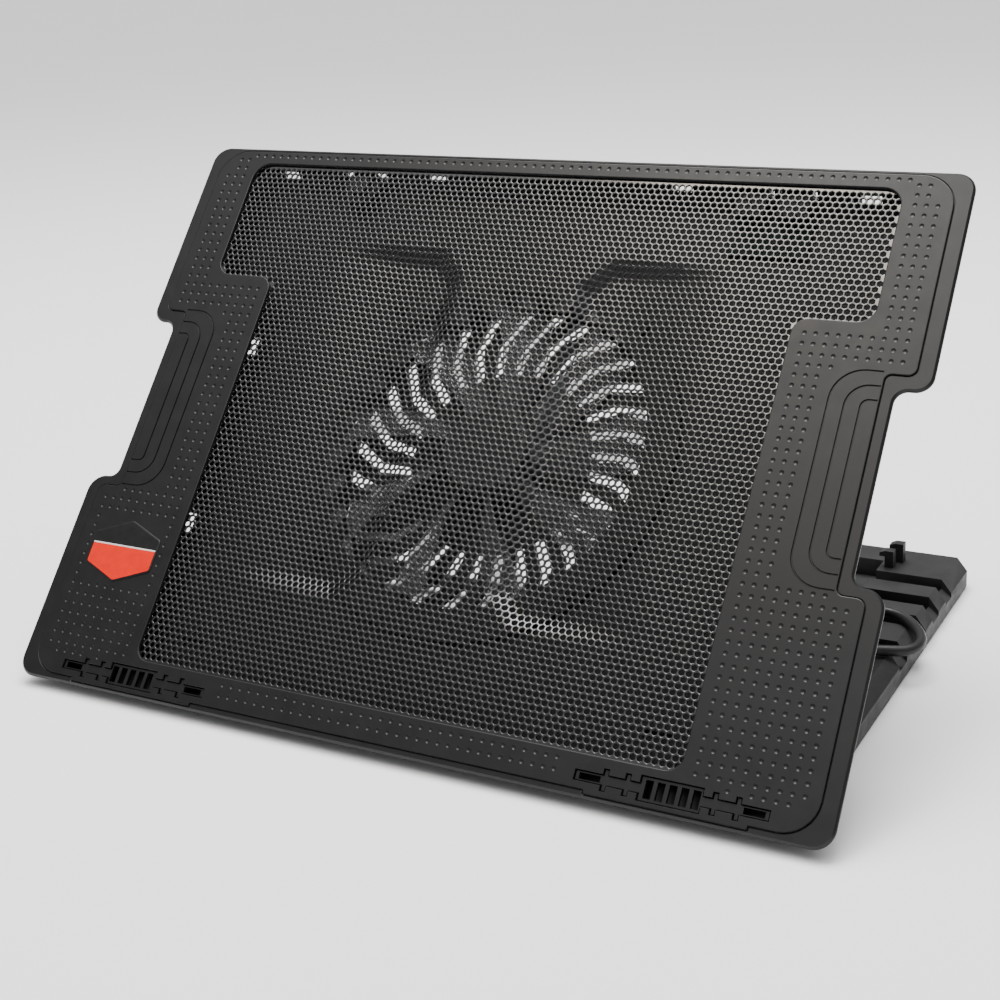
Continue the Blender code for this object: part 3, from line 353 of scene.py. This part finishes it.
class Body:
    """A mesh put together from walls (stacks of rings) and flat caps between rings."""

    def __init__(self):
        self.mesh = bmesh.new()
        self.slot = 0

    def ring(self, points, z):
        return [self.mesh.verts.new((x, y, z)) for x, y in points]

    def face(self, verts, smooth=True):
        made = self.mesh.faces.new(verts)
        made.material_index = self.slot
        made.smooth = smooth
        return made

    def wall(self, *rings):
        """Join (points, z) rings in order and return the first and the last ring."""
        built = [self.ring(points, z) for points, z in rings]
        self.join(built)
        return built[0], built[-1]

    def join(self, built):
        """Faces between rings that follow each other."""
        for low, high in zip(built, built[1:]):
            for i in range(len(low)):
                self.face((low[i - 1], low[i], high[i], high[i - 1]))

    def cap(self, *rings, holes=()):
        """Flat face between nested rings; holes are small convex rings left open in it."""
        verts, edges, owner = [], [], []
        for k, ring in enumerate((*rings, *holes)):
            base = len(verts)
            verts += ring
            owner += [k] * len(ring)
            edges += [(base + i, base + (i + 1) % len(ring)) for i in range(len(ring))]
        flat = [Vector((v.co.x, v.co.y)) for v in verts]
        made, _, faces, source, _, _ = delaunay_2d_cdt(flat, edges, [], 0, 1e-7, True)
        loops = [[(v.co.x, v.co.y) for v in ring] for ring in rings]
        first_hole = len(rings)
        for face in faces:
            own = [source[i][0] for i in face]
            ids = {owner[i] for i in own}
            if len(ids) == 1 and ids.pop() >= first_hole:
                continue
            mid = sum((made[i] for i in face), Vector((0.0, 0.0))) / len(face)
            if sum(inside(mid, loop) for loop in loops) % 2:
                self.face([verts[i] for i in own], smooth=False)

    def finish(self, name, mats, body, smooth, stands_for):
        """Object on a body, in place of CAD nodes; edges are sharp from the angle smooth up."""
        bmesh.ops.recalc_face_normals(self.mesh, faces=self.mesh.faces)
        limit = math.radians(smooth)
        for edge in self.mesh.edges:
            sides = edge.link_faces
            edge.smooth = (len(sides) == 2 and sides[0].smooth == sides[1].smooth
                           and edge.calc_face_angle(0.0) < limit)
        data = bpy.data.meshes.new(name)
        self.mesh.to_mesh(data)
        self.mesh.free()
        data.transform(Matrix.Scale(MM, 4))
        data.transform(PAD)
        for mat in mats:
            data.materials.append(mat)
        obj = bpy.data.objects.new(name, data)
        bpy.context.collection.objects.link(obj)
        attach(obj, body)
        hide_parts(*stands_for)


# ---------------------------------------------------------------- lead

def smooth_line(knots, count):
    """Even points on a Catmull-Rom curve through the knots."""
    per_span = 24
    fine = []
    ends = [knots[0] * 2 - knots[1]] + knots + [knots[-1] * 2 - knots[-2]]
    for a, b, c, d in zip(ends, ends[1:], ends[2:], ends[3:]):
        for k in range(per_span):
            t = k / per_span
            fine.append(0.5 * (2 * b + (c - a) * t + (2 * a - 5 * b + 4 * c - d) * t * t
                               + (3 * b - a - 3 * c + d) * t ** 3))
    fine.append(knots[-1])
    travelled = [0.0]
    for p, q in zip(fine, fine[1:]):
        travelled.append(travelled[-1] + (q - p).length)
    points, i = [], 0
    for k in range(count):
        want = travelled[-1] * k / (count - 1)
        while i < len(fine) - 2 and travelled[i + 1] < want:
            i += 1
        f = (want - travelled[i]) / (travelled[i + 1] - travelled[i])
        points.append(fine[i].lerp(fine[i + 1], min(1.0, f)))
    return points


def relief_tip():
    """Free end of the strain relief under the pad, in the stand's frame."""
    y, z = RELIEF_Y - HINGE_Y, RELIEF_Z + HINGE_DEPTH
    return Vector((RELIEF_X, AXIS_Y + y * math.cos(TILT) - z * math.sin(TILT),
                   AXIS_Z + y * math.sin(TILT) + z * math.cos(TILT)))


def lead_knots():
    """Down from the case to the stand, out in a loop, back to the recess and into the coil."""
    rest = RIDGE_Z + CORD_D / 2 + 0.2
    low = TRAY_Z + CORD_D / 2 + 0.2
    down = Vector((0.0, math.sin(TILT), -math.cos(TILT)))
    start = relief_tip() + down * 0.3
    knots = [start, start + down * 4.0]
    knots += [Vector((x, y, rest)) for x, y in (
        (154.0, -84.0), (153.8, -60.0), (152.8, -25.0), (151.6, 0.0), (154.0, 10.4), (162.4, 14.6),
        (171.6, 14.9), (177.8, 20.6), (177.4, 30.4), (172.4, 41.0), (165.0, 50.6), (156.4, 56.4),
        (147.4, 55.0), (142.0, 46.8), (140.2, 34.0), (138.5, 14.0))]
    knots += [Vector((135.2, -0.5, rest + 1.2)), Vector((131.4, -10.5, rest + 0.1)),
              Vector((129.9, -22.0, low + 3.6)), Vector((129.6, -33.0, low + 0.5))]
    return knots, low


def coil_knots(low):
    """Just over one turn: it closes in over its first sixth and climbs where it meets itself."""
    turns, steps = 1.25, 26
    inward, climb_from, climb_over = 5.1, 0.86, 0.16
    knots = []
    for k in range(steps + 1):
        f = k / steps
        angle = -2 * math.pi * turns * f
        closing = max(0.0, 1 - f * turns * 6)
        climbing = max(0.0, min(1.0, (f * turns - climb_from) / climb_over))
        radius = COIL_R + inward * closing
        knots.append(Vector((COIL_X + radius * math.cos(angle),
                             COIL_Y + radius * math.sin(angle), low + CORD_D * climbing)))
    return knots


def lead_points():
    knots, low = lead_knots()
    knots += coil_knots(low)
    knots.append(Vector((COIL_X - 9.0, COIL_Y - COIL_R, low + 3.2)))
    knots.append(Vector((COIL_X - 16.5, COIL_Y - COIL_R, low + 1.5)))
    return eased_line(smooth_line(knots, 150))


def eased_line(points, passes=8, straight=4):
    """Ease the bends of an even line, keeping its end and the straight start out of the relief."""
    for _ in range(passes):
        middle = [p * 0.5 + (a + b) * 0.25 for a, p, b in zip(points, points[1:], points[2:])]
        points = points[:straight] + middle[straight - 1:] + [points[-1]]
    return points


def lead():
    """The whole lead as one round cord, from the strain relief to the plug."""
    points = lead_points()
    curve = bpy.data.curves.new("lead", "CURVE")
    curve.dimensions = "3D"
    curve.bevel_depth = CORD_D / 2 * MM
    curve.bevel_resolution = 4
    curve.use_fill_caps = True
    spline = curve.splines.new("POLY")
    spline.points.add(len(points) - 1)
    for slot, p in zip(spline.points, points):
        slot.co = (*(p * MM), 1.0)
    spline.use_smooth = True
    curve.materials.append(LEAD)
    obj = bpy.data.objects.new("lead", curve)
    bpy.context.collection.objects.link(obj)
    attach(obj, "stand")
    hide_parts("usb_cable", "usb_cable_coil")


lead()


# ---------------------------------------------------------------- frame

# Profiles are pairs with a height, the top face being at 0. The other value is the distance in
# from the pad's edge (LIP), the distance out (GAP, MOUTH), a half width (GROOVE) or a radius.
FRAME_UNDER, SEAT_Z = -3.0, -1.3
LIP = ((0.9, FRAME_UNDER), (0.3, -2.7), (0.0, -2.2), (0.0, -1.5), (0.25, -1.2), (0.47, -0.97),
       (0.76, -0.68), (0.93, -0.5))
GAP = ((0.55, -0.5), (0.4, -0.6), (0.35, -1.2), (0.0, -1.2), (0.0, -0.35), (-0.12, -0.1),
       (-0.4, 0.0))
MOUTH = ((0.45, 0.0), (0.12, -0.1), (0.0, -0.4), (0.0, SEAT_Z))
GROOVE = ((0.42, 0.0), (0.3, -0.12), (0.24, -0.55))
DIMPLE = ((1.05, 0.0), (0.8, -0.14), (0.45, -0.3))
SEAT_GROW, WELL_FLARE, TRAY_FLOOR = 1.8, 0.14, 1.0

# The three grooves beside a notch: inner edge, front and back leg, corner radius.
GROOVES = ((150.8, 95.5, 187.0, 13.0), (157.5, 101.7, 180.6, 9.0), (164.0, 108.0, 174.4, 3.0))
GROOVE_END = 170.3

DOT_X, DOT_Y = 4.66, 4.7
FIRST_DOT, DOT_COLUMNS, DOT_ROWS = (134.7, 17.8), 10, 55


def groove_loop(x, y0, y1, radius, half, side):
    """Closed outline of a U-shaped groove that opens towards the side notch."""
    loops = []
    for d in (half, -half):
        a, b = Vector((GROOVE_END, y1 + d)), Vector((x - d, y1 + d))
        c, e = Vector((x - d, y0 - d)), Vector((GROOVE_END, y0 - d))
        bends = fillet(a, b, c, radius + d, 8) + fillet(b, c, e, radius + d, 8)
        loops.append([(a.x, a.y)] + bends + [(e.x, e.y)])
    return [(side * u, v) for u, v in loops[0] + loops[1][::-1]]


def dot_fits(x, y):
    """Whether the panel has room for a dimple of the side field at this place."""
    in_grooves = x > 145.5 and 93.5 < y < 190.0
    before_grooves = x < 149.0 and (y < 96.5 or y > 184.5)
    on_mesh = y > OPEN_STEP - 5.0 and x < OPEN_WIDE + 3.4
    past_corner = x > 177.5 - max(0.0, y - 262.0) * 0.55
    in_notch = x > 168.0 and 90.5 < y < 191.0
    return not ((in_grooves and not before_grooves) or on_mesh or past_corner or in_notch)


def clear_of_badge(spot):
    return abs(spot[0] - BADGE_X) > 20.5 or abs(spot[1] - BADGE_Y) > 17.0


def dot_spots():
    """Centres of the dimples: a field at each side, rows at the back and front, stop corners."""
    places = [(FIRST_DOT[0] + DOT_X * column, FIRST_DOT[1] + DOT_Y * row)
              for row in range(DOT_ROWS) for column in range(DOT_COLUMNS)]
    field = [(x, y) for x, y in places if dot_fits(x, y)]
    spots = field + [(-x, y) for x, y in field]
    spots += [(k * DOT_X, 274.0) for k in range(-35, 36)]
    for k in range(-17, 18):
        spots.append((k * DOT_X, 13.4))
        if abs(k * DOT_X) < 80.0:
            spots.append((k * DOT_X, 8.7))
    spots += [(side * x, 13.9) for side in (-1, 1) for x in (148.2, 157.5, 162.1, 166.8, 171.4)]
    return [s for s in spots if clear_of_badge(s)]


def profiled(body, outline, profile, *steps):
    """Wall that follows a profile around an outline of rounded corners."""
    return body.wall(*[(rounded(grown(outline, d), *steps), z) for d, z in profile])


def cut_well(body, side):
    plain = well_outline(side)
    return body.wall((well_outline(side, WELL_FLARE), 0.0), (plain, -0.16), (plain, -WELL_DEPTH))


def add_tray(body, side):
    """Box under a well, which closes it from below."""
    (x0, x1), (y0, y1) = TRAY_X, TRAY_Y
    line = [(side * x, y) for x, y in ((x0, y0), (x1, y0), (x1, y1), (x0, y1))]
    return body.wall((line, FRAME_UNDER), (line, -WELL_DEPTH - TRAY_FLOOR))


def cut_dimple(body, spot):
    rings = [body.ring(circle(r, 10, spot), z) for r, z in DIMPLE]
    body.join(rings)
    body.face(rings[-1])
    return rings[0]


def frame_moulding():
    """Frame with rounded lip, raised panel behind a fine gap, grooves, dimples and wells."""
    b = Body()
    rim = profiled(b, pad_outline(), [(-d, z) for d, z in LIP])
    crevice = profiled(b, panel_outline(), GAP, 8)
    mouth = profiled(b, mesh_outline(), MOUTH)
    seat = rounded(grown(mesh_outline(), SEAT_GROW))
    rebate = b.wall((seat, SEAT_Z), (seat, FRAME_UNDER))
    wells = [cut_well(b, side) for side in (-1, 1)]
    trays = [add_tray(b, side) for side in (-1, 1)]
    grooves = [b.wall(*[(groove_loop(*place, half, side), z) for half, z in GROOVE])
               for side in (-1, 1) for place in GROOVES]
    dots = [cut_dimple(b, spot) for spot in dot_spots()]
    b.cap(rim[0], rebate[1], *[t[0] for t in trays])
    b.cap(mouth[1], rebate[0])
    b.cap(rim[1], crevice[0])
    b.cap(crevice[1], mouth[0], *[w[0] for w in wells], *[g[0] for g in grooves], holes=dots)
    for pit in wells + trays + grooves:
        b.cap(pit[1])
    b.finish("frame_moulding", [FRAME_BLACK], "pad", smooth=40.0, stands_for=["top_frame"])


# ---------------------------------------------------------------- mesh

PITCH_X, PITCH_Y = 3.05, 2.72
SHEET_TOP, SHEET_THICK = -1.6, 0.8
FIRST_ROW_Y, HOLE_ROWS, HOLE_COLUMNS = 16.6, range(-1, 94), range(-56, 57)
CELL = ((0, 2), (1, 1), (1, -1), (0, -2), (-1, -1), (-1, 1))
HOLE = ((0.80, 0.0), (0.70, 0.16), (0.685, SHEET_THICK))

# The pressed panels: their edges and cut corners, their depth, and where they fade outwards.
PRESS_X, PRESS_Y, PRESS_CUT = 32.5, (63.5, 225.5), 11.0
PRESS_DEPTH, PRESS_EDGE, PRESS_FADE = 3.0, 4.5, (50.0, 100.0)
DIAGONAL = 1.414


def ease(value, low, high):
    """Smooth step from 0 at low to 1 at high."""
    f = max(0.0, min(1.0, (value - low) / (high - low)))
    return f * f * (3.0 - 2.0 * f)


def emboss(x, y):
    """Height of the sheet: a panel pressed in at each side of the middle, fading outwards."""
    u = abs(x)
    front, back = PRESS_Y
    into = min(u - PRESS_X, y - front, back - y,
               (u - PRESS_X + y - front - PRESS_CUT) / DIAGONAL,
               (u - PRESS_X + back - y - PRESS_CUT) / DIAGONAL)
    return -PRESS_DEPTH * ease(into, -PRESS_EDGE, PRESS_EDGE) * (1.0 - ease(u, *PRESS_FADE))


def punch_hole(body, webs, m, row):
    """Walls of one hole; m counts half pitches in x, and webs shares corners between holes."""
    half_x, third_y = PITCH_X / 2, PITCH_Y / 3
    cx, cy = m * half_x, FIRST_ROW_Y + PITCH_Y * row
    outer = []
    for i, j in CELL:
        key = (m + i, 3 * row + j)
        if key not in webs:
            x, y = cx + i * half_x, cy + j * third_y
            webs[key] = body.mesh.verts.new((x, y, SHEET_TOP + emboss(x, y)))
        outer.append(webs[key])
    rings = [outer]
    for scale, drop in HOLE:
        points = [(cx + i * half_x * scale, cy + j * third_y * scale) for i, j in CELL]
        rings.append([body.mesh.verts.new((x, y, SHEET_TOP - drop + emboss(x, y)))
                      for x, y in points])
    body.join(rings)


def hole_is_whole(m, row, border):
    half_x, third_y = PITCH_X / 2, PITCH_Y / 3
    cx, cy = m * half_x, FIRST_ROW_Y + PITCH_Y * row
    return all(inside((cx + i * half_x, cy + j * third_y), border) for i, j in CELL)


def hex_sheet():
    """Punched sheet: every hole has its own rounded edge, and a plain border all round."""
    b = Body()
    border = rounded(grown(mesh_outline(), 1.5), 6)
    webs = {}
    for row in HOLE_ROWS:
        for column in HOLE_COLUMNS:
            m = 2 * column + row % 2
            if hole_is_whole(m, row, border):
                punch_hole(b, webs, m, row)
    corners = set(webs.values())
    loops = chain([e for e in b.mesh.edges
                   if len(e.link_faces) == 1 and corners.issuperset(e.verts)])
    outer = b.wall((border, SHEET_TOP), (border, SHEET_TOP - SHEET_THICK))
    b.cap(outer[0], *loops)
    b.finish("hex_sheet", [MESH_PAINT], "pad", smooth=50.0, stands_for=["mesh_grille"])


def chain(edges):
    """Closed loops of vertices along the given edges, each vertex being on two of them."""
    nexts = {}
    for e in edges:
        a, b = e.verts
        nexts.setdefault(a, []).append(b)
        nexts.setdefault(b, []).append(a)
    loops = []
    left = set(nexts)
    while left:
        start = min(left, key=lambda v: (v.co.x, v.co.y))
        loop, before = [start], start
        here = nexts[start][0]
        while here is not start and here in left:
            loop.append(here)
            left.discard(here)
            before, here = here, next(v for v in nexts[here] if v is not before)
        left.discard(start)
        loops.append(loop)
    return loops


# ---------------------------------------------------------------- badge

def badge():
    """Blank two-tone badge with a pale dividing line; it carries no lettering."""
    b = Body()
    half, shoulder, point, top = 18.6, 7.6, 15.0, 0.36
    corners = [(0.0, -point, 3.0), (half, -shoulder, 2.0), (half, shoulder, 2.0),
               (0.0, point, 3.0), (-half, shoulder, 2.0), (-half, -shoulder, 2.0)]
    profile = ((0.0, 0.02), (0.0, 0.22), (0.25, top), (0.9, top))
    rings = [([(x + BADGE_X, y + BADGE_Y) for x, y in rounded(grown(corners, -d), 5)], z)
             for d, z in profile]
    b.slot = 1
    b.wall(*rings)
    line, line_half = BADGE_Y + 2.4, 0.35
    face = rings[-1][0]
    upper = clipped(face, line + line_half, 1)
    band = clipped(clipped(face, line - line_half, 1), line + line_half, -1)
    lower = clipped(face, line - line_half, -1)
    for slot, shape in ((1, upper), (2, band), (0, lower)):
        b.slot = slot
        b.face(b.ring(shape, top))
    bmesh.ops.remove_doubles(b.mesh, verts=b.mesh.verts, dist=1e-4)
    b.finish("badge_face", [ORANGE, FOIL_BLACK, FOIL_PALE], "pad", smooth=30.0,
             stands_for=["badge"])


def clipped(points, level, sign):
    """Part of a convex outline above (sign 1) or below (sign -1) a level in y."""
    out = []
    for (ax, ay), (bx, by) in zip(points, points[1:] + points[:1]):
        if (ay - level) * sign >= 0:
            out.append((ax, ay))
        if (ay - level) * (by - level) < 0:
            t = (level - ay) / (by - ay)
            out.append((ax + (bx - ax) * t, level))
    return out


# ---------------------------------------------------------------- front stops

STOP_LOW, STOP_TOP, STOP_GAP, STOP_CHAMFER = -2.65, -0.85, 0.35, 0.15
SLOT_X, SLOT_STEP, SLOT_Y, SLOTS = (116.4, 119.5), 4.75, (4.9, 12.0), 5
END_POCKETS_X, END_POCKET_Y = ((89.6, 98.4), (155.4, 163.8)), (7.1, 9.6)


def stop_holes(side):
    """Slots between the ribs of the finger grip, and a pocket at each end."""
    spans = [(SLOT_X[0] + SLOT_STEP * k, SLOT_X[1] + SLOT_STEP * k, *SLOT_Y)
             for k in range(SLOTS)]
    spans += [(x0, x1, *END_POCKET_Y) for x0, x1 in END_POCKETS_X]
    return [[(side * x, y) for x, y in ((x0, y0), (x1, y0), (x1, y1), (x0, y1))]
            for x0, x1, y0, y1 in spans]


def front_stop(side, tag):
    """Flat stop that fills its well but for a small gap, with a chamfer round its top."""
    b = Body()
    line = well_outline(side, -STOP_GAP)
    outer = b.wall((line, STOP_LOW), (line, STOP_TOP - STOP_CHAMFER),
                   (well_outline(side, -STOP_GAP - STOP_CHAMFER), STOP_TOP))
    holes = [b.wall((h, STOP_LOW), (h, STOP_TOP)) for h in stop_holes(side)]
    b.cap(outer[0], *[h[0] for h in holes])
    b.cap(outer[1], *[h[1] for h in holes])
    b.finish(f"stop_{tag}", [FRAME_BLACK], f"{tag}_stop", smooth=30.0,
             stands_for=[f"front_stop_{tag}"])


# ---------------------------------------------------------------- finished copies of CAD nodes

def softened(node, mat, body, width):
    """Copy of a CAD node with its flat faces merged and every sharp edge given a small radius."""
    source = bpy.data.objects[node]
    bm = bmesh.new()
    bm.from_mesh(source.data)
    bmesh.ops.remove_doubles(bm, verts=bm.verts, dist=1e-6)
    bmesh.ops.dissolve_limit(bm, angle_limit=math.radians(0.6), verts=bm.verts, edges=bm.edges)
    data = bpy.data.meshes.new(node + "_soft")
    bm.to_mesh(data)
    bm.free()
    data.materials.append(mat)
    obj = bpy.data.objects.new(node + "_soft", data)
    bpy.context.collection.objects.link(obj)
    bevel = obj.modifiers.new("edges", "BEVEL")
    bevel.width = width * MM
    bevel.segments = 2
    bevel.limit_method = "ANGLE"
    bevel.angle_limit = math.radians(32.0)
    bevel.use_clamp_overlap = True
    bevel.harden_normals = False
    data.shade_smooth()
    data.set_sharp_from_angle(angle=math.radians(40))
    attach(obj, body)
    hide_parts(node)


LOOKS = {
    "top_frame": FRAME_BLACK, "front_stop": FRAME_BLACK, "mesh_grille": MESH_PAINT,
    "badge": ORANGE, "bottom_case": CASE_BLACK, "fan_housing": CASE_BLACK,
    "hinge_bracket": CASE_BLACK, "prop_mount": CASE_BLACK, "base_plate": STAND_BLACK,
    "prop_bracket": STAND_BLACK, "hinge_pin": STEEL, "prop_pin": STEEL, "screw": NICKEL,
    "rubber_foot": RUBBER, "foot_sleeve": RUBBER,
    "fan_rotor": SMOKED, "hub_label": LABEL, "fan_shaft": STEEL, "magnet_ring": FERRITE,
    "fan_bearing": BRONZE, "fan_coils": COPPER, "fan_board": BOARD,
    "usb_board": BOARD, "usb_port": NICKEL, "speed_knob": FAN_BLACK,
    "speed_potentiometer": FERRITE, "strain_relief": RUBBER, "usb_cable": LEAD,
    "usb_plug": RUBBER, "usb_plug_shell": STEEL,
}


def paint_cad():
    """Materials for the CAD nodes: the longest key that a node's name contains is its look."""
    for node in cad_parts:
        mat = LOOKS[max((key for key in LOOKS if key in node), key=len)]
        obj = bpy.data.objects[node]
        if not obj.material_slots:
            obj.data.materials.append(mat)
        for slot in obj.material_slots:
            slot.material = mat


# ---------------------------------------------------------------- stage

def floor_paper():
    """Pale backdrop paper."""
    s = Shader("floor_paper", (0.9, 0.9, 0.9), 0.9, Specular_IOR_Level=0.1)
    s.tint(s.noise(3.0, 3.0), (0.89, 0.89, 0.89), (0.92, 0.92, 0.92))
    return s.mat


def stage():
    """Wide pale floor, a world that is bright only overhead, and two soft lamps."""
    half = 15
    data = bpy.data.meshes.new("floor")
    data.from_pydata([(-half, -half, 0), (half, -half, 0), (half, half, 0), (-half, half, 0)],
                     [], [(0, 1, 2, 3)])
    data.materials.append(floor_paper())
    floor = bpy.data.objects.new("floor", data)
    bpy.context.collection.objects.link(floor)

    world = bpy.data.worlds.new("studio")
    world.use_nodes = True
    bpy.context.scene.world = world
    tree = world.node_tree
    back = tree.nodes["Background"]
    coords = tree.nodes.new("ShaderNodeTexCoord")
    split = tree.nodes.new("ShaderNodeSeparateXYZ")
    ramp = tree.nodes.new("ShaderNodeValToRGB")
    tree.links.new(coords.outputs["Generated"], split.inputs["Vector"])
    tree.links.new(split.outputs["Z"], ramp.inputs["Fac"])
    tree.links.new(ramp.outputs["Color"], back.inputs["Color"])
    for stop, height, grey in zip(ramp.color_ramp.elements, (0.68, 0.9), (0.15, 1.0)):
        stop.position = height
        stop.color = (grey, grey, grey, 1.0)
    back.inputs["Strength"].default_value = 2.7

    lamp("overhead", (-0.15, 0.35, 1.7), (0.0, 0.0, 0.1), 1.1, 45.0)
    lamp("key", (-0.38, -0.456, 1.52), (0.11, 0.022, 0.19), 0.34, 4.2, (1.0, 0.88, 0.74))


def lamp(name, place, target, size, power, color=(1.0, 1.0, 1.0)):
    """Square area lamp at a place, aimed at a target; metres and watts."""
    data = bpy.data.lights.new(name, "AREA")
    data.energy = power
    data.size = size
    data.color = color
    obj = bpy.data.objects.new(name, data)
    bpy.context.collection.objects.link(obj)
    obj.location = place
    obj.rotation_euler = (Vector(target) - Vector(place)).to_track_quat("-Z", "Y").to_euler()


# ---------------------------------------------------------------- build

paint_cad()
frame_moulding()
hex_sheet()
badge()
front_stop(-1, "left")
front_stop(1, "right")
softened("base_plate", STAND_BLACK, "stand", 0.5)
softened("bottom_case", CASE_BLACK, "pad", 0.4)
softened("prop_bracket", STAND_BLACK, "prop", 0.5)
stage()
